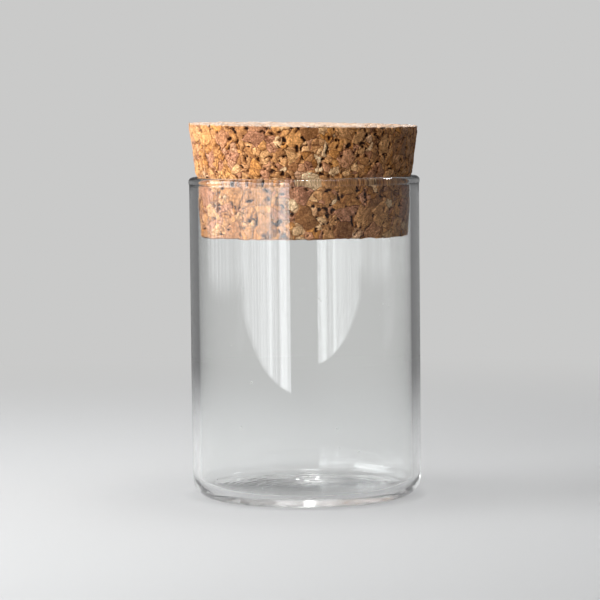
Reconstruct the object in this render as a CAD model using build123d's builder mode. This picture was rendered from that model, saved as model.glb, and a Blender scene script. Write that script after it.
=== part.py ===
from build123d import *
import math
import os

# A straight-sided glass jar and the cork stopper that closes it.
# Millimetres, +Z up. The jar's axis is the Z axis, and the origin is the centre of the
# plane that the jar stands on.

# Jar body: a drawn glass tube, closed at the bottom
body_diameter = 61.7
wall_thickness = 2.3
jar_height = 86.0

# Lip: the cut end of the tube, melted back into a round bead a little thicker than the wall
lip_outer_swell = 0.2  # the bead beyond the outside of the wall
lip_inner_swell = 0.1  # the bead beyond the inside of the wall
lip_blend = 0.8  # hollow where the bead runs into the wall, inside and outside

# Base: pushed up in the middle, so that only a narrow ring touches the table
heel_radius = 5.2  # outside turn from the wall to the foot
inner_heel_radius = 3.0  # inside turn from the wall to the floor
foot_ring_width = 1.0  # flat ring that the jar stands on
push_up = 0.8  # rise of the underside from the ring to the axis
floor_thickness = 2.0  # glass on the axis, under the flat inside floor

# Stopper: one block of pressed cork granules, pushed into the mouth and squeezed by it
stopper_insertion = 16.0  # below the top of the lip
stopper_protrusion = 14.8  # above the top of the lip, where it is highest
stopper_clearance = 0.1  # between the squeezed cork and the mouth, on the radius
tip_relief = 0.55  # how much slimmer the lower end is than the squeezed part, on the radius
tip_length = 9.0  # tapered lower end that the mouth doesn't squeeze
shoulder_bulge = 0.7  # how far the cork swells out past the mouth, just above the lip
shoulder_rise = 1.0  # height of that shoulder above the top of the lip
waist_drop = 0.4  # the swelling starts this far below the top of the lip
head_taper_angle = 7.2  # flare of the part that stands out of the jar, in degrees
top_slant = 1.4  # how far out of square the top was cut, in degrees
top_slant_heading = 149.0  # where the top is highest: at the back on the left of the jar
worn_edge = 0.4  # bevel round the lower end; the top keeps the sharp edge of its cut

# Pockets: angular holes left open at the surface where granules don't meet. They are
# spread evenly but don't line up, because each lies a golden angle further round.
pocket_spacing = 8.0  # from one to the next, on average
pocket_width = 2.2  # of a three-sided or five-sided pocket, across its corners
slit_length = 2.8  # of a long pocket between two granules
slit_width = 0.9
pocket_depth = 0.8
pocket_margin = 2.0  # from the middle of a pocket to the nearest edge of the stopper
golden_angle = 137.508

# Radii and heights that follow from the sizes above
body_radius = body_diameter / 2
bore_radius = body_radius - wall_thickness
lip_bead_radius = (wall_thickness + lip_outer_swell + lip_inner_swell) / 2
lip_centre_radius = body_radius + lip_outer_swell - lip_bead_radius
lip_centre_height = jar_height - lip_bead_radius
mouth_radius = bore_radius - lip_inner_swell

foot_outer_radius = body_radius - heel_radius
foot_inner_radius = foot_outer_radius - foot_ring_width
floor_height = push_up + floor_thickness

stopper_bottom = jar_height - stopper_insertion
stopper_top = jar_height + stopper_protrusion
squeezed_radius = mouth_radius - stopper_clearance
tip_radius = squeezed_radius - tip_relief
shoulder_radius = mouth_radius + shoulder_bulge
shoulder_height = jar_height + shoulder_rise
waist_height = jar_height - waist_drop
head_flare = math.tan(math.radians(head_taper_angle))
head_radius = shoulder_radius + (stopper_top - shoulder_height) * head_flare
top_rise = head_radius * math.tan(math.radians(top_slant))
top_centre_height = stopper_top - top_rise

os.makedirs("parts", exist_ok=True)


# Glass jar: half of its section, from the axis out to the wall, turned about the Z axis
with BuildPart() as glass_jar:
    with BuildSketch(Plane.XZ) as jar_section:
        with BuildLine():
            underside = Line((0, push_up), (foot_inner_radius, 0))
            foot_ring = Line(underside @ 1, (foot_outer_radius, 0))
            heel = TangentArc(foot_ring @ 1, (body_radius, heel_radius), tangent=(1, 0))
            outside_wall = Line(heel @ 1, (body_radius, lip_centre_height))
            wall_end = Line(outside_wall @ 1, (bore_radius, lip_centre_height))
            inside_wall = Line(wall_end @ 1, (bore_radius, floor_height))
            floor = Line(inside_wall @ 1, (0, floor_height))
            Line(floor @ 1, underside @ 0)
        make_face()
        # The floor turns up into the wall with a soft inside corner
        floor_corner = jar_section.vertices().sort_by_distance(inside_wall @ 1)[0]
        fillet(floor_corner, radius=inner_heel_radius)
        with Locations((lip_centre_radius, lip_centre_height)):
            Circle(lip_bead_radius)
        # The two creases under the bead, inside and outside, are left smooth by the melting
        creases = jar_section.vertices().sort_by(Axis.Y)[-2:]
        fillet(creases, radius=lip_blend)
    revolve(axis=Axis.Z)

glass_jar.part.label = "glass_jar"
export_step(glass_jar.part, "parts/glass_jar.step")


# Cork stopper: a tapered tip, a band squeezed by the mouth, and a flared head that swells
# out just above the lip
side_corners = [
    (tip_radius, stopper_bottom),
    (squeezed_radius, stopper_bottom + tip_length),
    (squeezed_radius, waist_height),
    (shoulder_radius, shoulder_height),
    (head_radius, stopper_top),
]


def side_radius(height):
    for (radius, low), (next_radius, high) in zip(side_corners, side_corners[1:]):
        if height <= high:
            return radius + (next_radius - radius) * (height - low) / (high - low)


def top_edge_height(turn):
    """Height of the slanted top's edge in a direction, in degrees from +X."""
    return top_centre_height + top_rise * math.cos(math.radians(turn - top_slant_heading))


def pocket_plane(origin, outwards, turn):
    """Where a pocket opens. Each pocket is turned another way about its own middle."""
    return Plane(origin, z_dir=outwards).rotated((0, 0, turn))


with BuildPart() as cork_stopper:
    with BuildSketch(Plane.XZ) as stopper_section:
        with BuildLine():
            Polyline((0, stopper_bottom), *side_corners, (0, stopper_top), close=True)
        make_face()
        lower_edge = stopper_section.vertices().sort_by_distance(side_corners[0])[0]
        chamfer(lower_edge, length=worn_edge)
    revolve(axis=Axis.Z)

    lean = math.radians(top_slant)
    uphill = Vector(1, 0, 0).rotate(Axis.Z, top_slant_heading)
    top_plane = Plane(
        (0, 0, top_centre_height), z_dir=Vector(0, 0, math.cos(lean)) - uphill * math.sin(lean)
    )
    split(bisect_by=top_plane, keep=Keep.BOTTOM)

    pocket_planes = []
    side_area = 2 * math.pi * squeezed_radius * (top_centre_height - stopper_bottom)
    side_count = round(side_area / pocket_spacing**2)
    for number in range(side_count):
        turn = number * golden_angle
        outwards = Vector(1, 0, 0).rotate(Axis.Z, turn)
        lowest = stopper_bottom + pocket_margin
        highest = top_edge_height(turn) - pocket_margin
        height = lowest + (highest - lowest) * (number + 0.5) / side_count
        origin = outwards * side_radius(height) + Vector(0, 0, height)
        pocket_planes.append(pocket_plane(origin, outwards, turn))
    bottom_plane = Plane((0, 0, stopper_bottom), z_dir=(0, 0, -1))
    for end_plane, end_radius in ((top_plane, head_radius), (bottom_plane, tip_radius)):
        pocketed_radius = end_radius - pocket_margin
        end_count = round(math.pi * pocketed_radius**2 / pocket_spacing**2)
        for number in range(end_count):
            turn = number * golden_angle
            radius = pocketed_radius * math.sqrt((number + 0.5) / end_count)
            spot = Vector(radius, 0, 0).rotate(Axis.Z, turn)
            origin = end_plane.from_local_coords(spot)
            pocket_planes.append(pocket_plane(origin, end_plane.z_dir, turn))
    with BuildSketch(*pocket_planes[0::3]):
        RegularPolygon(radius=pocket_width / 2, side_count=3)
    with BuildSketch(*pocket_planes[1::3]):
        RegularPolygon(radius=pocket_width / 2, side_count=5)
    with BuildSketch(*pocket_planes[2::3]):
        Rectangle(slit_length, slit_width)
    extrude(amount=-pocket_depth, mode=Mode.SUBTRACT)

cork_stopper.part.label = "cork_stopper"
export_step(cork_stopper.part, "parts/cork_stopper.step")
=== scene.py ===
import math

import bmesh
import bpy
from mathutils import Matrix, Vector


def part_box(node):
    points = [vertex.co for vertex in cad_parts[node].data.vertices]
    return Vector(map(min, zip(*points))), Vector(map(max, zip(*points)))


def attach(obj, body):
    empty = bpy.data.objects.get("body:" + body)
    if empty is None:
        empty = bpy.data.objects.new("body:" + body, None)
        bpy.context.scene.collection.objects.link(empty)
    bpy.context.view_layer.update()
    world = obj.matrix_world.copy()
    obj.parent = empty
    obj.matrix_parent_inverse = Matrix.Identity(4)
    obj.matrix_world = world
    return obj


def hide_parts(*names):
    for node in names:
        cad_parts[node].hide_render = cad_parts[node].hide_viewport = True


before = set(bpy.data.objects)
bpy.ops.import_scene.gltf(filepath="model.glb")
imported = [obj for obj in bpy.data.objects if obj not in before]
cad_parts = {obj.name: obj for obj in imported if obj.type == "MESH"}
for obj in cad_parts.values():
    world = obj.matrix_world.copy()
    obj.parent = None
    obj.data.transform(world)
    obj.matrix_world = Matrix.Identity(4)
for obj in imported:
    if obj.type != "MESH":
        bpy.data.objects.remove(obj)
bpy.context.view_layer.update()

# A straight-sided glass jar, closed by a stopper of pressed cork granules, in a plain
# studio. Sizes are in millimetres, and MM turns them into the frame's metres.
MM = 0.001

# Camera, as it stood for the photograph
CAMERA_PLACE = (-1.4, -765.0, 104.3)
CAMERA_PITCH_DOWN = math.radians(3.86)
CAMERA_ROLL = -0.0101  # radians
CAMERA_LENS = 170.8
CAMERA_SENSOR = 36.0

# Glass jar: the same section as the CAD node that it stands for
JAR_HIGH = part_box("glass_jar")[1] / MM
JAR_HEIGHT = JAR_HIGH.z
WALL = 2.3
LIP_OUTER_SWELL = 0.2
LIP_INNER_SWELL = 0.1
LIP_BLEND = 0.8
HEEL_RADIUS = 5.2
INNER_HEEL_RADIUS = 3.0
FOOT_RING = 1.0
PUSH_UP = 0.8
FLOOR_THICKNESS = 2.0
BODY_RADIUS = JAR_HIGH.x - LIP_OUTER_SWELL
BORE_RADIUS = BODY_RADIUS - WALL

# Faces of the jar: round the axis, and along each stretch of its section
JAR_SEGMENTS = 256
BASE_STEPS = 12
FOOT_STEPS = 2
HEEL_STEPS = 20
INNER_HEEL_STEPS = 16
WALL_STEPS = 30
HOLLOW_STEPS = 4
BEAD_STEPS = 30

# Cork stopper: the same section as its CAD node, a hair larger, because it is then
# crumbled inwards
CORK_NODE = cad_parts["cork_stopper"]
CORK_LOW, CORK_HIGH = (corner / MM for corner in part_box("cork_stopper"))
CORK_BOTTOM = CORK_LOW.z
CORK_TOP = CORK_HIGH.z
CLEARANCE = 0.03  # between the mouth and the stopper before it is crumbled
TIP_RELIEF = 0.55
TIP_LENGTH = 9.0
SHOULDER_BULGE = 0.75
SHOULDER_RISE = 1.0
WAIST_DROP = 0.4
HEAD_TAPER = math.radians(7.2)
WORN_EDGE = 0.3
CORK_SEGMENTS = 128
CORK_VOXEL = 0.37

# Radii and heights that follow from those sizes
MOUTH_RADIUS = BORE_RADIUS - LIP_INNER_SWELL
SQUEEZED_RADIUS = MOUTH_RADIUS - CLEARANCE
TIP_RADIUS = SQUEEZED_RADIUS - TIP_RELIEF
SHOULDER_RADIUS = MOUTH_RADIUS + SHOULDER_BULGE
SHOULDER_HEIGHT = JAR_HEIGHT + SHOULDER_RISE
WAIST_HEIGHT = JAR_HEIGHT - WAIST_DROP
HEAD_RADIUS = SHOULDER_RADIUS + (CORK_TOP - SHOULDER_HEIGHT) * math.tan(HEAD_TAPER)

# The top was cut a little out of square: it is highest at the back on the left
TOP_SLANT = math.radians(1.4)
TOP_HEADING = math.radians(149.0)
TOP_CENTRE = CORK_TOP - HEAD_RADIUS * math.tan(TOP_SLANT)
TOP_NORMAL = Vector(
    (
        -math.sin(TOP_SLANT) * math.cos(TOP_HEADING),
        -math.sin(TOP_SLANT) * math.sin(TOP_HEADING),
        math.cos(TOP_SLANT),
    )
)


# ------------------------------------------------------------------ outlines and pieces

WELD_DISTANCE = 0.001


class Outline:
    """A pen that draws half of a turned piece's section, as (distance from axis, height)."""

    def __init__(self, x, z):
        self.bm = bmesh.new()
        self.tip = self.bm.verts.new((x, 0, z))

    def line(self, x, z, steps=1):
        start, end = self.tip.co.copy(), Vector((x, 0, z))
        for i in range(steps):
            self.tip = bmesh.ops.extrude_vert_indiv(self.bm, verts=[self.tip])["verts"][0]
            self.tip.co = start.lerp(end, (i + 1) / steps)

    def arc(self, centre_x, centre_z, degrees, steps):
        """Swings the pen about a centre. A positive angle turns it from +X to +Z."""
        swung = bmesh.ops.spin(
            self.bm, geom=[self.tip], cent=(centre_x, 0, centre_z), axis=(0, -1, 0),
            angle=math.radians(degrees), steps=steps, use_duplicate=False,
        )
        self.tip = swung["geom_last"][0]

    def turned(self, segments):
        """Turns the section about the Z axis into a closed mesh, in metres."""
        bm = self.bm
        bmesh.ops.spin(
            bm, geom=bm.verts[:] + bm.edges[:], cent=(0, 0, 0), axis=(0, 0, 1),
            angle=math.tau, steps=segments, use_merge=True, use_duplicate=False,
        )
        bmesh.ops.remove_doubles(bm, verts=bm.verts, dist=WELD_DISTANCE)
        bmesh.ops.recalc_face_normals(bm, faces=bm.faces)
        bmesh.ops.scale(bm, vec=(MM, MM, MM), verts=bm.verts)
        return bm


def new_piece(name, bm):
    """Makes a smoothly shaded object from a bmesh, and frees the bmesh."""
    mesh = bpy.data.meshes.new(name)
    bm.to_mesh(mesh)
    bm.free()
    mesh.shade_smooth()
    piece = bpy.data.objects.new(name, mesh)
    bpy.context.scene.collection.objects.link(piece)
    return piece


def apply_modifiers(piece):
    """Gives the piece the mesh that its modifiers make, and takes them off."""
    graph = bpy.context.evaluated_depsgraph_get()
    finished = bpy.data.meshes.new_from_object(piece.evaluated_get(graph))
    rough, piece.data = piece.data, finished
    piece.modifiers.clear()
    bpy.data.meshes.remove(rough)
    finished.name = piece.name
    finished.shade_smooth()


def make_glass_jar():
    """Draws the glass from the middle of the underside, up outside and down inside."""
    bead = (WALL + LIP_OUTER_SWELL + LIP_INNER_SWELL) / 2
    bead_x, bead_z = JAR_HIGH.x - bead, JAR_HEIGHT - bead
    foot_outer = BODY_RADIUS - HEEL_RADIUS
    foot_inner = foot_outer - FOOT_RING
    floor_z = PUSH_UP + FLOOR_THICKNESS

    # The hollows under the bead touch the wall and the bead
    reach = bead + LIP_BLEND
    outer_across = BODY_RADIUS + LIP_BLEND - bead_x
    inner_across = bead_x - (BORE_RADIUS - LIP_BLEND)
    outer_drop = math.sqrt(reach**2 - outer_across**2)
    inner_drop = math.sqrt(reach**2 - inner_across**2)
    outer_turn = math.degrees(math.atan2(outer_drop, outer_across))
    inner_turn = math.degrees(math.atan2(inner_drop, inner_across))

    turn_x, turn_z = BORE_RADIUS - INNER_HEEL_RADIUS, floor_z + INNER_HEEL_RADIUS

    pen = Outline(0, PUSH_UP)
    pen.line(foot_inner, 0, BASE_STEPS)
    pen.line(foot_outer, 0, FOOT_STEPS)
    pen.arc(foot_outer, HEEL_RADIUS, 90, HEEL_STEPS)
    pen.line(BODY_RADIUS, bead_z - outer_drop, WALL_STEPS)
    pen.arc(BODY_RADIUS + LIP_BLEND, bead_z - outer_drop, -outer_turn, HOLLOW_STEPS)
    pen.arc(bead_x, bead_z, 180 + outer_turn + inner_turn, BEAD_STEPS)
    pen.arc(BORE_RADIUS - LIP_BLEND, bead_z - inner_drop, -inner_turn, HOLLOW_STEPS)
    pen.line(BORE_RADIUS, turn_z, WALL_STEPS)
    pen.arc(turn_x, turn_z, -90, INNER_HEEL_STEPS)
    pen.line(0, floor_z, BASE_STEPS)
    return new_piece("glass_jar_clear", pen.turned(JAR_SEGMENTS))


def plain_stopper():
    """The stopper before it is crumbled, with its slanted top."""
    pen = Outline(0, CORK_BOTTOM)
    pen.line(TIP_RADIUS - WORN_EDGE, CORK_BOTTOM)
    pen.line(TIP_RADIUS, CORK_BOTTOM + WORN_EDGE)
    pen.line(SQUEEZED_RADIUS, CORK_BOTTOM + TIP_LENGTH)
    pen.line(SQUEEZED_RADIUS, WAIST_HEIGHT)
    pen.line(SHOULDER_RADIUS, SHOULDER_HEIGHT)
    pen.line(HEAD_RADIUS, CORK_TOP)
    pen.line(0, CORK_TOP)
    bm = pen.turned(CORK_SEGMENTS)
    cut = bmesh.ops.bisect_plane(
        bm, geom=bm.verts[:] + bm.edges[:] + bm.faces[:], clear_outer=True,
        plane_co=(0, 0, TOP_CENTRE * MM), plane_no=TOP_NORMAL,
    )
    rim = [part for part in cut["geom_cut"] if isinstance(part, bmesh.types.BMEdge)]
    bmesh.ops.contextual_create(bm, geom=rim)
    return bm


def make_cork_stopper():
    """The plain stopper with even faces all over, crumbled along its granules."""
    piece = new_piece("cork_stopper_granular", plain_stopper())
    even = piece.modifiers.new("even_faces", "REMESH")
    even.mode = "VOXEL"
    even.voxel_size = CORK_VOXEL * MM
    crumble = piece.modifiers.new("crumble", "NODES")
    crumble.node_group = cork_crumble()
    apply_modifiers(piece)
    return piece


# ------------------------------------------------------------------------- node helpers

MID_GREY = (0.5, 0.5, 0.5)  # the middle of what a noise or a random draw gives


class Nodes:
    """Adds nodes to a shader or geometry tree. Inputs are numbers, vectors or sockets."""

    def __init__(self, tree):
        self.tree = tree

    def add(self, kind, inputs=None, **settings):
        node = self.tree.nodes.new(kind)
        for name, value in settings.items():
            setattr(node, name, value)
        for key, value in (inputs or {}).items():
            if isinstance(value, bpy.types.NodeSocket):
                self.tree.links.new(value, node.inputs[key])
            else:
                node.inputs[key].default_value = value
        return node

    def math(self, operation, a, b=0.0, c=0.0):
        node = self.add("ShaderNodeMath", {0: a, 1: b, 2: c}, operation=operation)
        return node.outputs[0]

    def vector(self, operation, a, b=(0.0, 0.0, 0.0)):
        return self.add("ShaderNodeVectorMath", {0: a, 1: b}, operation=operation).outputs[0]

    def dot(self, a, b):
        node = self.add("ShaderNodeVectorMath", {0: a, 1: b}, operation="DOT_PRODUCT")
        return node.outputs["Value"]

    def length(self, vector):
        node = self.add("ShaderNodeVectorMath", {0: vector}, operation="LENGTH")
        return node.outputs["Value"]

    def split(self, vector):
        return self.add("ShaderNodeSeparateXYZ", {0: vector}).outputs

    def join(self, x, y, z=0.0):
        return self.add("ShaderNodeCombineXYZ", {0: x, 1: y, 2: z}).outputs[0]

    def scaled(self, vector, factor):
        return self.add(
            "ShaderNodeVectorMath", {0: vector, "Scale": factor}, operation="SCALE"
        ).outputs[0]

    def ramp(self, value, low, high, to_low=0.0, to_high=1.0):
        """Goes smoothly from to_low to to_high as value goes from low to high."""
        return self.add(
            "ShaderNodeMapRange", {0: value, 1: low, 2: high, 3: to_low, 4: to_high},
            interpolation_type="SMOOTHSTEP",
        ).outputs[0]

    def product(self, first, *others):
        for other in others:
            first = self.math("MULTIPLY", first, other)
        return first

    def noise(self, place, scale, detail=2.0, roughness=0.5, output="Fac"):
        """Smooth random values. The scale is in features per millimetre."""
        return self.add(
            "ShaderNodeTexNoise",
            {"Vector": place, "Scale": scale, "Detail": detail, "Roughness": roughness},
        ).outputs[output]

    def voronoi(self, place, scale, feature):
        """Cells, given by their Distance, Color and Position."""
        return self.add(
            "ShaderNodeTexVoronoi", {"Vector": place, "Scale": scale}, feature=feature
        ).outputs

    def blend(self, factor, a, b):
        """a where factor is 0 and b where it is 1, for plain numbers."""
        return self.add("ShaderNodeMix", {0: factor, 2: a, 3: b}, data_type="FLOAT").outputs[0]

    def blend_colour(self, factor, a, b, mode="MIX"):
        """The same for colours and vectors."""
        return self.add(
            "ShaderNodeMix", {0: factor, 6: a, 7: b}, data_type="RGBA", blend_type=mode
        ).outputs[2]

    def blend_surface(self, factor, a, b):
        """The same for shaders."""
        return self.add("ShaderNodeMixShader", {0: factor, 1: a, 2: b}).outputs[0]

    def bumped(self, height):
        """The surface normal that a height in millimetres gives."""
        return self.add("ShaderNodeBump", {"Distance": MM, "Height": height}).outputs[0]

    def object_place(self):
        """The shaded place in the object's own frame, in millimetres."""
        return self.scaled(self.add("ShaderNodeTexCoord").outputs["Object"], 1 / MM)

    def colours(self, value, stops):
        """A colour ramp through (position, colour) stops."""
        node = self.add("ShaderNodeValToRGB", {0: value})
        ramp = node.color_ramp
        while len(ramp.elements) < len(stops):
            ramp.elements.new(0.5)
        for element, (position, colour) in zip(ramp.elements, stops):
            element.position = position
            element.color = (*colour, 1.0)
        return node.outputs[0]


def new_material(name):
    """An empty material, and the helper that adds its nodes."""
    material = bpy.data.materials.new(name)
    material.use_nodes = True
    material.node_tree.nodes.clear()
    return material, Nodes(material.node_tree)


# --------------------------------------------------------------------------- cork grain

GRANULE = 4.6  # usual width of a large granule
SPLIT_GRANULE = 2.3
WHOLE_SHARE = 0.45  # of the large granules; the others are split
CRUMB = 1.1  # the small stuff between granules, some of which is missing
SEAM_REACH = 0.5  # crumbs that lie this close to a seam can be missing
GAP_WIDTH = 0.75  # widest opening along a seam
GAP_SLOPE = 0.22
PIT_DEPTH = 0.9
SEAM_DEPTH = 0.07
SEAM_WIDTH = 0.3
GRANULE_STEP = 0.12
GRANULE_TILT = 0.08
FACET_TILT = 0.11  # further slant of each granule's face, in its shading alone
RUBBED = 0.12  # depth of the fine roughness all over
EDGE_LOSS = 0.35  # depth that the top's sharp edge has lost where it is worn
EDGE_START = 0.2
EDGE_WIDTH = 1.1
SIGHT = 1.0  # how far outside the stopper the CAD node's pockets are looked at from
SIGHT_REACH = 3.0  # and how far that look goes
POCKET_SIDE = (0.35, 0.6)  # depth over which a pocket's ragged side drops to its floor

# Noises, as scale, detail and roughness
GAP_NOISE = (0.42, 2.0, 0.7)
LOOSE_NOISE = (0.22,)
WORN_NOISE = (0.9, 3.0, 0.7)
RUBBED_NOISE = (2.2, 3.0, 0.6)

# Bends, as scale, amount in millimetres and detail
BEND_ROUGHNESS = 0.6
BROAD_BEND = (0.35, 1.5, 1.0)
BORDER_BEND = (1.6, 0.4)
HOLE_BEND = (1.5, 0.7)
POCKET_BEND = (1.1, 0.9)

# Ramps: the range of what goes in, then that of what comes out, where it isn't 0 to 1
GAP_PLACES = (0.55, 0.76)
LOOSE_SHARE = (0.35, 0.7, 0.03, 0.3)
HOLE_DEPTH = (0.0, 0.6, 0.5, 1.0)
HOLE_SIDE = (0.02, 0.2)
WORN_PLACES = (0.46, 0.62)


def below_top(n, place):
    """How far a place lies under the plane in which the stopper's top was cut."""
    return n.dot(n.vector("SUBTRACT", (0.0, 0.0, TOP_CENTRE), place), TOP_NORMAL)


def bent(n, place, scale, amount, detail=3.0):
    """Moves a place by a noise, so that straight borders come out ragged."""
    noise = n.noise(place, scale, detail, BEND_ROUGHNESS, "Color")
    return n.vector("ADD", place, n.scaled(n.vector("SUBTRACT", noise, MID_GREY), amount))


def cells(n, place, width):
    """Cells of one size: distance to the border, random draw, and offset from the centre."""
    nearest = n.voronoi(place, 1 / width, "F1")
    border = n.voronoi(place, 1 / width, "DISTANCE_TO_EDGE")["Distance"]
    offset = n.vector("SUBTRACT", place, nearest["Position"])
    return n.math("MULTIPLY", border, width), nearest["Color"], offset


def granules(n, place):
    """Large granules, about half of them split: distance to the seam, draw and offset."""
    whole_border, whole_draw, whole_offset = cells(n, place, GRANULE)
    part_border, part_draw, part_offset = cells(n, place, SPLIT_GRANULE)
    is_split = n.math("GREATER_THAN", n.split(whole_draw)[0], WHOLE_SHARE)
    seam = n.blend(is_split, whole_border, n.math("MINIMUM", whole_border, part_border))
    draw = n.blend_colour(is_split, whole_draw, part_draw)
    offset = n.blend_colour(is_split, whole_offset, part_offset)
    return seam, draw, offset


def gaps(n, place, seam):
    """Seams stand open here and there, widest where granules meet at a corner."""
    width = n.ramp(n.noise(place, *GAP_NOISE), *GAP_PLACES, 0.0, GAP_WIDTH)
    return n.ramp(n.math("SUBTRACT", width, seam), 0.0, GAP_SLOPE)


def holes(n, place):
    """Crumbs that lie on a seam are missing here and there, which leaves ragged holes."""
    crumb = n.voronoi(place, 1 / CRUMB, "F1")
    border = n.voronoi(place, 1 / CRUMB, "DISTANCE_TO_EDGE")["Distance"]
    on_seam = n.math("LESS_THAN", granules(n, crumb["Position"])[0], SEAM_REACH)
    draw = n.split(crumb["Color"])
    loose = n.ramp(n.noise(place, *LOOSE_NOISE), *LOOSE_SHARE)
    gone = n.math("MULTIPLY", on_seam, n.math("LESS_THAN", draw[0], loose))
    return n.product(gone, n.ramp(draw[1], *HOLE_DEPTH), n.ramp(border, *HOLE_SIDE))


def cork_grain(n, place):
    """Adds the nodes that say what the pressed cork is like at a place. The mesh and the
    material both use them, so that they agree."""
    place = bent(n, bent(n, place, *BROAD_BEND), *BORDER_BEND)
    seam, draw, offset = granules(n, place)
    # Each granule's face leans its own way, by a draw between -1 and 1 along each axis
    lean = n.scaled(n.vector("SUBTRACT", draw, MID_GREY), 2.0)
    tilt = n.dot(lean, offset)
    _, tone, tint = n.split(draw)

    pit = n.math("MAXIMUM", holes(n, bent(n, place, *HOLE_BEND)), gaps(n, place, seam))
    height = n.math("MULTIPLY", tilt, GRANULE_TILT)
    height = n.math("SUBTRACT", height, n.math("MULTIPLY", tone, GRANULE_STEP))
    height = n.math("SUBTRACT", height, n.ramp(seam, 0.0, SEAM_WIDTH, SEAM_DEPTH, 0.0))
    return {
        "place": place, "seam": seam, "tone": tone, "tint": tint, "tilt": tilt,
        "pit": pit, "height": height,
    }


# ------------------------------------------------------------------- crumbled cork mesh


def pockets(n, place, normal):
    """How deep the CAD node's pockets are under a place, from 0 to 1, with ragged edges."""
    spot = bent(n, place, *POCKET_BEND)
    eye = n.vector("ADD", spot, n.scaled(normal, SIGHT))
    solid = n.add("GeometryNodeObjectInfo", {"Object": CORK_NODE}, transform_space="ORIGINAL")
    ray = n.add(
        "GeometryNodeRaycast",
        {
            "Target Geometry": solid.outputs["Geometry"],
            "Source Position": n.scaled(eye, MM),
            "Ray Direction": n.scaled(normal, -1.0),
            "Ray Length": SIGHT_REACH * MM,
        },
    ).outputs
    reached = n.vector("SUBTRACT", place, n.scaled(ray["Hit Position"], 1 / MM))
    return n.math("MULTIPLY", ray["Is Hit"], n.ramp(n.dot(reached, normal), *POCKET_SIDE))


def worn_edge(n, place):
    """How much is missing from the top's sharp edge."""
    x, y, _ = n.split(place)
    from_side = n.math("SUBTRACT", HEAD_RADIUS, n.length(n.join(x, y)))
    from_edge = n.math("MAXIMUM", below_top(n, place), from_side)
    near_edge = n.ramp(from_edge, EDGE_START, EDGE_WIDTH, EDGE_LOSS, 0.0)
    worn = n.ramp(n.noise(place, *WORN_NOISE), *WORN_PLACES)
    return n.math("MULTIPLY", near_edge, worn)


def with_attribute(n, geometry, name, kind, value):
    """Geometry whose points keep a value under a name, for the material to read."""
    return n.add(
        "GeometryNodeStoreNamedAttribute",
        {"Geometry": geometry, "Name": name, "Value": value},
        data_type=kind, domain="POINT",
    ).outputs[0]


def cork_crumble():
    """Geometry nodes that sink holes, seams and a worn edge into the plain stopper."""
    tree = bpy.data.node_groups.new("cork_crumble", "GeometryNodeTree")
    tree.interface.new_socket("Geometry", in_out="INPUT", socket_type="NodeSocketGeometry")
    tree.interface.new_socket("Geometry", in_out="OUTPUT", socket_type="NodeSocketGeometry")
    n = Nodes(tree)
    plain = n.add("NodeGroupInput").outputs[0]
    place = n.scaled(n.add("GeometryNodeInputPosition").outputs[0], 1 / MM)
    normal = n.add("GeometryNodeInputNormal").outputs[0]
    grain = cork_grain(n, place)
    pocket = pockets(n, place, normal)
    noted = with_attribute(n, plain, "uncrumbled", "FLOAT_VECTOR", place)
    noted = with_attribute(n, noted, "pocket", "FLOAT", pocket)

    depth = n.math("MULTIPLY", n.math("MAXIMUM", grain["pit"], pocket), PIT_DEPTH)
    depth = n.math("ADD", depth, worn_edge(n, place))
    rubbed = n.math("MULTIPLY", n.noise(place, *RUBBED_NOISE), RUBBED)
    depth = n.math("ADD", depth, rubbed)
    depth = n.math("MAXIMUM", n.math("SUBTRACT", depth, grain["height"]), 0.0)
    inwards = n.scaled(normal, n.math("MULTIPLY", depth, -MM))
    sunk = n.add("GeometryNodeSetPosition", {"Geometry": noted, "Offset": inwards}).outputs[0]
    n.add("NodeGroupOutput", {0: sunk})
    return tree


# ------------------------------------------------------------------------ cork material

# Tones of the granules, from the darkest draw to the palest
CORK_TONES = (
    (0.0, (0.34, 0.135, 0.04)),
    (0.12, (0.50, 0.215, 0.07)),
    (0.4, (0.62, 0.285, 0.1)),
    (0.7, (0.72, 0.35, 0.135)),
    (0.9, (0.80, 0.45, 0.2)),
    (1.0, (0.88, 0.60, 0.34)),
)
CORK_PINK = (0.62, 0.27, 0.15, 1.0)
CORK_HONEY = (0.64, 0.25, 0.045, 1.0)
# Pale cream of the top: a painted highlight for the light that falls on it from above
CORK_PAINTED_TOP_LIGHT = (0.84, 0.60, 0.40, 1.0)
# Painted shade for the pits: brown at their rims and near black deeper in
CORK_PAINTED_PIT_SHADE = (0.30, 0.10, 0.022, 1.0)
CORK_PAINTED_PIT_DARK = (0.035, 0.012, 0.004, 1.0)

# How far a colour goes towards another, as ramps of a random draw or of a depth
PINK_SHARE = (0.66, 0.95, 0.0, 0.75)
HONEY_SHARE = (0.05, 0.35, 0.65, 0.0)
# Painted shade: how far the pits are darkened, by their depth
PIT_PAINTED_SHADE = (0.05, 0.4, 0.0, 0.8)
PIT_PAINTED_DARKNESS = (0.3, 0.8, 0.0, 0.97)
CUT_DEPTH = (0.1, 0.6, 1.0, 0.0)  # under the cut: the top, and its sharp edge too
# How far the top is painted paler, as a painted highlight of the light from above
TOP_PAINTED_HIGHLIGHT = 0.52

# Patterns of the cork, as noises: scale, detail and roughness
STREAKS = (1.0, 3.0, 0.6)
CLOUDS = (0.55, 2.0, 0.5)
MOTTLE = (1.6, 5.0, 0.8)
FLECKS = (4.5, 2.0, 0.6)
SEAM_NOISE = (0.5,)

# Streaks and dark grains are drawn out along an axis that each granule turns its own way
STREAK_STRETCH = (2.2, 0.6, 0.8)
DARK_GRAIN_STRETCH = (1.3, 0.5, 0.5)
TURN_AXIS = (0.3, 0.8, 0.5)
TURN_RANGE = 40.0  # radians, over the whole range of tones
DARK_GRAIN_SIZE = (0.45, 1.0, 0.0, 0.3)
DARK_GRAIN_EDGE = 0.08

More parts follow.
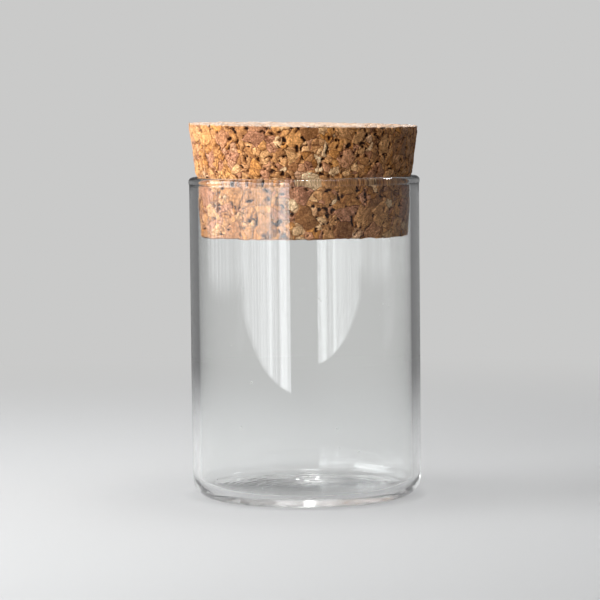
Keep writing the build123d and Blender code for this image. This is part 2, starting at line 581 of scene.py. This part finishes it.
# How each pattern shades the cork: the pattern's range, then the shades at its two ends
STREAK_SHADES = (0.3, 0.7, 0.78, 1.18)
CLOUD_SHADES = (0.3, 0.7, 0.82, 1.14)
MOTTLE_SHADES = (0.4, 0.62, 0.74, 1.36)
FLECK_SHADES = (0.36, 0.66, 0.8, 1.26)
SEAM_SHADES = (0.38, 0.58, 0.8, 0.28)
SEAM_LINE = 0.15
DARK_GRAIN_SHADE = 0.45

# Powers to which a shade is raised for green and for blue
GREEN_POWER = 1.25
BLUE_POWER = 1.5

# Relief that is too fine for the mesh, and how matt the surface is
STREAK_RELIEF = 0.06
MOTTLE_RELIEF = 0.1
FLECK_RELIEF = 0.05
CORK_ROUGHNESS = (0.3, 0.7, 0.72, 0.92)
CORK_SPECULAR = 0.3
SIDE_SHEEN = 0.18
CUT_SHEEN = 0.8
SHEEN_PIT = 0.5  # how far into a pit the sheen reaches
SHEEN_ROUGHNESS = 0.35


def granule_colour(n, tone, tint):
    """Each granule has a tone of its own, and some are pink or the colour of honey."""
    colour = n.colours(tone, CORK_TONES)
    colour = n.blend_colour(n.ramp(tint, *PINK_SHARE), colour, CORK_PINK)
    return n.blend_colour(n.ramp(tint, *HONEY_SHARE), colour, CORK_HONEY)


def turned_with(n, place, tone):
    """A place turned by an angle of each granule's own, so that its streaks run its way."""
    angle = n.math("MULTIPLY", tone, TURN_RANGE)
    return n.add(
        "ShaderNodeVectorRotate",
        {"Vector": place, "Axis": TURN_AXIS, "Angle": angle},
        rotation_type="AXIS_ANGLE",
    ).outputs[0]


def dark_grains(n, turned):
    """Dark grains in the granules, drawn out along their streaks."""
    grain = n.voronoi(n.vector("MULTIPLY", turned, DARK_GRAIN_STRETCH), 1.0, "F1")
    size = n.ramp(n.split(grain["Color"])[0], *DARK_GRAIN_SIZE)
    return n.ramp(n.math("SUBTRACT", size, grain["Distance"]), 0.0, DARK_GRAIN_EDGE)


def shaded(n, colour, shade):
    """A colour times a shade. What is darker is redder as well."""
    green = n.math("POWER", shade, GREEN_POWER)
    blue = n.math("POWER", shade, BLUE_POWER)
    return n.blend_colour(1.0, colour, n.join(shade, green, blue), "MULTIPLY")


def cork_patterns(n, flat_place, grain):
    """What shades and roughens the cork. Streaks and dark grains run each granule's way."""
    turned = turned_with(n, grain["place"], grain["tone"])
    return {
        "streaks": n.noise(n.vector("MULTIPLY", turned, STREAK_STRETCH), *STREAKS),
        "dark_grains": dark_grains(n, turned),
        "clouds": n.noise(grain["place"], *CLOUDS),
        "mottle": n.noise(flat_place, *MOTTLE),
        "flecks": n.noise(flat_place, *FLECKS),
    }


def cork_shade(n, flat_place, grain, patterns):
    """How light or dark all the patterns together make the cork."""
    seam_shade = n.ramp(n.noise(flat_place, *SEAM_NOISE), *SEAM_SHADES)
    return n.product(
        n.ramp(patterns["streaks"], *STREAK_SHADES),
        n.ramp(patterns["clouds"], *CLOUD_SHADES),
        n.ramp(patterns["mottle"], *MOTTLE_SHADES),
        n.ramp(patterns["flecks"], *FLECK_SHADES),
        n.ramp(grain["seam"], 0.0, SEAM_LINE, seam_shade, 1.0),
        n.ramp(patterns["dark_grains"], 0.0, 1.0, 1.0, DARK_GRAIN_SHADE),
    )


def cork_colour(n, grain, shade, cut, pit):
    """Granules, with the top painted paler as a painted highlight of the light from above, and
    painted shade in the pits between them.
    """
    colour = shaded(n, granule_colour(n, grain["tone"], grain["tint"]), shade)
    # Painted highlight: the top is painted paler where the light from above falls on it
    colour = n.blend_colour(n.math("MULTIPLY", cut, TOP_PAINTED_HIGHLIGHT), colour, CORK_PAINTED_TOP_LIGHT)
    # Painted shade: the pits, which also have real depth in the mesh, are painted dark
    colour = n.blend_colour(n.ramp(pit, *PIT_PAINTED_SHADE), colour, CORK_PAINTED_PIT_SHADE)
    return n.blend_colour(n.ramp(pit, *PIT_PAINTED_DARKNESS), colour, CORK_PAINTED_PIT_DARK)


def cork_relief(n, grain, patterns):
    """Height in millimetres for the shading, with what is too fine for the mesh."""
    relief = n.math("MULTIPLY", patterns["mottle"], MOTTLE_RELIEF)
    relief = n.math("MULTIPLY_ADD", patterns["streaks"], STREAK_RELIEF, relief)
    relief = n.math("MULTIPLY_ADD", patterns["flecks"], FLECK_RELIEF, relief)
    relief = n.math("MULTIPLY_ADD", grain["tilt"], FACET_TILT, relief)
    return n.math("ADD", relief, grain["height"])


def cork_material():
    """Pressed cork, coloured by the same granules and pits that the mesh has."""
    material, n = new_material("pressed_cork")
    flat_place = n.add("ShaderNodeAttribute", attribute_name="uncrumbled").outputs["Vector"]
    pocket = n.add("ShaderNodeAttribute", attribute_name="pocket").outputs["Fac"]
    grain = cork_grain(n, flat_place)
    patterns = cork_patterns(n, flat_place, grain)
    shade = cork_shade(n, flat_place, grain, patterns)
    cut = n.ramp(below_top(n, flat_place), *CUT_DEPTH)
    pit = n.math("MAXIMUM", grain["pit"], pocket)
    sheen = n.blend(cut, SIDE_SHEEN, CUT_SHEEN)
    principled = n.add(
        "ShaderNodeBsdfPrincipled",
        {
            "Base Color": cork_colour(n, grain, shade, cut, pit),
            "Roughness": n.ramp(patterns["mottle"], *CORK_ROUGHNESS),
            "Specular IOR Level": CORK_SPECULAR,
            "Sheen Weight": n.ramp(pit, 0.0, SHEEN_PIT, sheen, 0.0),
            "Sheen Roughness": SHEEN_ROUGHNESS,
            "Normal": n.bumped(cork_relief(n, grain, patterns)),
        },
    )
    n.add("ShaderNodeOutputMaterial", {"Surface": principled.outputs[0]})
    return material


# -------------------------------------------------------------------------------- glass

GLASS_COLOUR = (0.985, 0.992, 0.988, 1.0)
GLASS_IOR = 1.473
CLEARNESS = 0.965  # share of a lamp's light that shines through the glass straight on
SLANTED_CLEARNESS = 0.85  # and where it meets the glass at a slant
SLANT_BLEND = 0.35
SLANT_RANGE = (0.2, 1.0)

# Fine upright lines that drawing the tube leaves, and slow waves: heights, noises, and how
# much each noise is drawn out along the wall
DRAW_LINES = 0.0012
LINE_NOISE = (0.9, 3.0, 0.65)
LINE_STRETCH = (1.0, 1.0, 0.004)
WALL_WAVES = 0.01
WAVE_NOISE = (0.06, 1.0)
WAVE_STRETCH = (1.0, 1.0, 0.3)

# Rings in the floor of the pressed base, which wander, and die away towards the wall
RIPPLES = 0.012
RIPPLE_WIDTH = 2.4
RIPPLE_WANDER = 4.5
WANDER_NOISE = (0.09, 2.0)
RIPPLE_RADII = (24.0, 27.0)
RIPPLE_HEIGHTS = (3.2, 6.5)

# Specks of dust and wipe marks, which dull the glass
SPECK_DENSITY = 0.22
SPECK_SIZE = (0.5, 1.0, 0.0, 0.05)
SPECK_DULLNESS = 0.5
WIPE_NOISE = (0.12, 4.0, 0.7)
WIPE_STRETCH = (1.0, 1.0, 2.5)
WIPE_DULLNESS = (0.56, 0.72, 0.0, 0.035)


def glass_relief(n, place):
    """The unevenness of drawn glass, as a height in millimetres."""
    x, y, z = n.split(place)
    lines = n.noise(n.vector("MULTIPLY", place, LINE_STRETCH), *LINE_NOISE)
    waves = n.noise(n.vector("MULTIPLY", place, WAVE_STRETCH), *WAVE_NOISE)

    radius = n.length(n.join(x, y))
    wander = n.noise(place, *WANDER_NOISE)
    ring = n.math("MULTIPLY_ADD", wander, RIPPLE_WANDER, n.math("DIVIDE", radius, RIPPLE_WIDTH))
    ripples = n.math("SINE", n.math("MULTIPLY", ring, math.tau))
    low = n.ramp(z, *RIPPLE_HEIGHTS, 1.0, 0.0)
    inside = n.ramp(radius, *RIPPLE_RADII, 1.0, 0.0)
    ripples = n.product(ripples, low, inside, RIPPLES)
    height = n.math("MULTIPLY_ADD", lines, DRAW_LINES, ripples)
    return n.math("MULTIPLY_ADD", waves, WALL_WAVES, height)


def glass_dullness(n, place):
    """Roughness of the specks and wipe marks that dull the glass."""
    dust = n.voronoi(place, SPECK_DENSITY, "F1")
    size = n.ramp(n.split(dust["Color"])[0], *SPECK_SIZE)
    specks = n.math("LESS_THAN", dust["Distance"], size)
    wiped = n.noise(n.vector("MULTIPLY", place, WIPE_STRETCH), *WIPE_NOISE)
    return n.math("MULTIPLY_ADD", specks, SPECK_DULLNESS, n.ramp(wiped, *WIPE_DULLNESS))


def glass_material():
    """Clear glass, a little uneven and dusty, that the light of lamps goes through."""
    material, n = new_material("clear_glass")
    place = n.object_place()
    principled = n.add(
        "ShaderNodeBsdfPrincipled",
        {
            "Base Color": GLASS_COLOUR,
            "Roughness": glass_dullness(n, place),
            "IOR": GLASS_IOR,
            "Transmission Weight": 1.0,
            "Normal": n.bumped(glass_relief(n, place)),
        },
    )
    # Lamps shine through the glass, less so where they meet it at a slant
    slant = n.add("ShaderNodeLayerWeight", {"Blend": SLANT_BLEND}).outputs["Facing"]
    through = n.ramp(slant, *SLANT_RANGE, CLEARNESS, SLANTED_CLEARNESS)
    grey = n.join(through, through, through)
    clear = n.add("ShaderNodeBsdfTransparent", {"Color": grey}).outputs[0]
    rays = n.add("ShaderNodeLightPath").outputs
    surface = principled.outputs[0]
    for kind in ("Is Shadow Ray", "Is Diffuse Ray"):
        surface = n.blend_surface(rays[kind], surface, clear)
    n.add("ShaderNodeOutputMaterial", {"Surface": surface})
    return material


# ------------------------------------------------------------------ floor, lights, camera

FLOOR_RADIUS = 6000.0
FLOOR_SEGMENTS = 128
FLOOR_FADE = (90.0, 430.0)  # how far from the axis the floor turns into the backdrop
FLOOR_ROUGHNESS = 0.7
FLOOR_COLOUR = (0.62, 0.62, 0.615, 1.0)
FLOOR_BOUNCE = (0.2, 0.2, 0.2, 1.0)  # its colour as far as it lights the object
BACKDROP = (0.59, 0.59, 0.585, 1.0)  # what is far off, seen straight or through glass
SURROUNDINGS = (0.12, 0.12, 0.123, 1.0)  # what is far off, mirrored once
AMBIENT = (0.125, 0.125, 0.13, 1.0)  # light from all round

CLOTH_COLOUR = (0.96, 0.98, 1.0, 1.0)
FOLD_NOISE = (1 / 26.0, 5.0, 0.8)  # folds in a soft box's cloth, about 26 mm wide
FOLD_STRENGTH = (0.38, 0.62, 0.3, 1.7)
STRIP_HEIGHT = 950.0
STRIP_RADIANCE = 30.0
SPOT_POWER = 20.0
SPOT_HEIGHT = 1500.0
SPOT_WIDTH = 65.0
SPOT_RADIUS = 12.0
SPOT_EDGE = 0.15  # share of the beam that fades
COUNT_TOLERANCE = 0.1  # for comparing a count of bounces with a whole number


def far_view(n):
    """Whether a ray sees the far distance as a picture, and in which colour: the backdrop
    straight on and through glass, or the darker surroundings where a surface mirrors once.
    What is mirrored inside the glass was guided through it from the far side."""
    rays = n.add("ShaderNodeLightPath").outputs
    straight = n.math("MAXIMUM", rays["Is Camera Ray"], rays["Is Transmission Ray"])
    seen = n.math("MAXIMUM", straight, rays["Is Glossy Ray"])
    once = n.math("COMPARE", rays["Glossy Depth"], 1.0, COUNT_TOLERANCE)
    mirrored = n.math("MULTIPLY", once, rays["Is Glossy Ray"])
    return seen, n.blend_colour(mirrored, BACKDROP, SURROUNDINGS)


def make_floor():
    """A pale floor that turns into the backdrop further away from the jar."""
    bm = bmesh.new()
    bmesh.ops.create_circle(
        bm, cap_ends=True, segments=FLOOR_SEGMENTS, radius=FLOOR_RADIUS * MM
    )
    floor = new_piece("studio_floor", bm)
    material, n = new_material("studio_floor")
    bounces = n.add("ShaderNodeLightPath").outputs["Is Diffuse Ray"]
    seen, far_colour = far_view(n)
    away = n.ramp(n.length(n.object_place()), *FLOOR_FADE)
    paper = n.add(
        "ShaderNodeBsdfPrincipled",
        {
            "Base Color": n.blend_colour(bounces, FLOOR_COLOUR, FLOOR_BOUNCE),
            "Roughness": FLOOR_ROUGHNESS,
            "Specular IOR Level": 0.0,
        },
    )
    far = n.add("ShaderNodeEmission", {"Color": far_colour})
    surface = n.blend_surface(n.math("MULTIPLY", away, seen), paper.outputs[0], far.outputs[0])
    n.add("ShaderNodeOutputMaterial", {"Surface": surface})
    floor.data.materials.append(material)


def make_world():
    """Light from all round, and what is seen in the far distance."""
    world = bpy.data.worlds.new("studio")
    world.use_nodes = True
    world.node_tree.nodes.clear()
    n = Nodes(world.node_tree)
    seen, far_colour = far_view(n)
    colour = n.blend_colour(seen, AMBIENT, far_colour)
    background = n.add("ShaderNodeBackground", {"Color": colour})
    n.add("ShaderNodeOutputWorld", {"Surface": background.outputs[0]})
    bpy.context.scene.world = world


def area_lamp(name, width, height, radiance):
    """A rectangular lamp that sends out the same radiance at any size."""
    lamp = bpy.data.lights.new(name, "AREA")
    lamp.shape = "RECTANGLE"
    lamp.size, lamp.size_y = width * MM, height * MM
    lamp.energy = radiance * math.pi * lamp.size * lamp.size_y
    return lamp


def hang(lamp, place):
    """Puts a lamp in its place. The camera doesn't see it."""
    hung = bpy.data.objects.new(lamp.name, lamp)
    hung.location = Vector(place) * MM
    hung.visible_camera = False
    bpy.context.scene.collection.objects.link(hung)
    return hung


def dress_with_cloth(lamp, low, fade):
    """Gives a lamp a cloth with upright folds, which gets weaker towards its lower edge."""
    lamp.use_nodes = True
    lamp.node_tree.nodes.clear()
    n = Nodes(lamp.node_tree)
    place = n.scaled(n.add("ShaderNodeNewGeometry").outputs["Position"], 1 / MM)
    across = n.vector("MULTIPLY", place, (1.0, 1.0, 0.0))
    strength = n.ramp(n.noise(across, *FOLD_NOISE), *FOLD_STRENGTH)
    strength = n.math("MULTIPLY", strength, n.ramp(n.split(place)[2], low, low + fade))
    cloth = n.add("ShaderNodeEmission", {"Color": CLOTH_COLOUR, "Strength": strength})
    n.add("ShaderNodeOutputLight", {"Surface": cloth.outputs[0]})


def soft_box(name, near, far, low, high, radiance, spread=180.0, fade=1.0):
    """A soft box that stands from near to far, (x, y) points, and faces the jar. It gets
    weaker towards its lower edge over the height fade."""
    near, far = Vector(near), Vector(far)
    middle = (near + far) / 2
    along = (far - near).normalized()
    facing = Vector((-along.y, along.x))
    if facing.dot(middle) > 0:
        facing = -facing
    lamp = area_lamp(name, (far - near).length, high - low, radiance)
    lamp.spread = math.radians(spread)
    dress_with_cloth(lamp, low, fade)
    box = hang(lamp, (middle.x, middle.y, (low + high) / 2))
    box.rotation_euler = Vector((facing.x, facing.y, 0)).to_track_quat("-Z", "Y").to_euler()


def overhead_strip(name, x, y, width, length):
    """A strip lamp under the ceiling that only shows as a glint on the lip and the heel."""
    strip = hang(area_lamp(name, width, length, STRIP_RADIANCE), (x, y, STRIP_HEIGHT))
    strip.visible_diffuse = False


def top_spot():
    """A narrow beam from straight above, as wide as the stopper, that picks out its top."""
    lamp = bpy.data.lights.new("top_spot", "SPOT")
    lamp.energy = SPOT_POWER
    lamp.spot_size = 2 * math.atan(SPOT_WIDTH / 2 / SPOT_HEIGHT)
    lamp.spot_blend = SPOT_EDGE
    lamp.shadow_soft_size = SPOT_RADIUS * MM
    hang(lamp, (0, 0, SPOT_HEIGHT))


def make_camera():
    """The camera of the photograph, as it was fitted to the jar's edges."""
    camera = bpy.data.objects.new("camera", bpy.data.cameras.new("camera"))
    camera.data.lens = CAMERA_LENS
    camera.data.sensor_width = CAMERA_SENSOR
    tilt = Matrix.Rotation(math.pi / 2 - CAMERA_PITCH_DOWN, 4, "X")
    roll = Matrix.Rotation(CAMERA_ROLL, 4, "Z")
    camera.matrix_world = Matrix.Translation(Vector(CAMERA_PLACE) * MM) @ tilt @ roll
    bpy.context.scene.collection.objects.link(camera)
    bpy.context.scene.camera = camera


# ------------------------------------------------------------------------- put together

GUIDED_BOUNCES = 32  # light is guided a long way inside the wall, the lip and the base

make_camera()
make_floor()
make_world()

# Soft boxes on the left, by their two ends and their lowest and highest edges
soft_box("left_front_box", (-84, -320), (-690, -320), 0, 320, radiance=2.7, spread=150)
soft_box("left_key_box", (-760, -420), (-760, 320), 120, 820, radiance=6.6)
soft_box("left_low_box", (-770, -420), (-770, 320), 0, 120, radiance=1.4, fade=20)

# Lamps overhead
hang(area_lamp("overhead_box", 500, 500, radiance=3.0), (0, 0, 750))
top_spot()
overhead_strip("middle_strip", -20, 180, width=110, length=620)
overhead_strip("right_strip", 353, 325, width=50, length=140)
overhead_strip("far_right_strip", 610, 700, width=120, length=260)

jar = make_glass_jar()
jar.data.materials.append(glass_material())
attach(jar, "jar")
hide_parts("glass_jar")

stopper = make_cork_stopper()
stopper.data.materials.append(cork_material())
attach(stopper, "stopper")
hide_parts("cork_stopper")

scene = bpy.context.scene
scene.view_settings.view_transform = "Standard"
scene.cycles.max_bounces = GUIDED_BOUNCES
scene.cycles.glossy_bounces = GUIDED_BOUNCES
scene.cycles.caustics_refractive = False
scene.cycles.caustics_reflective = False
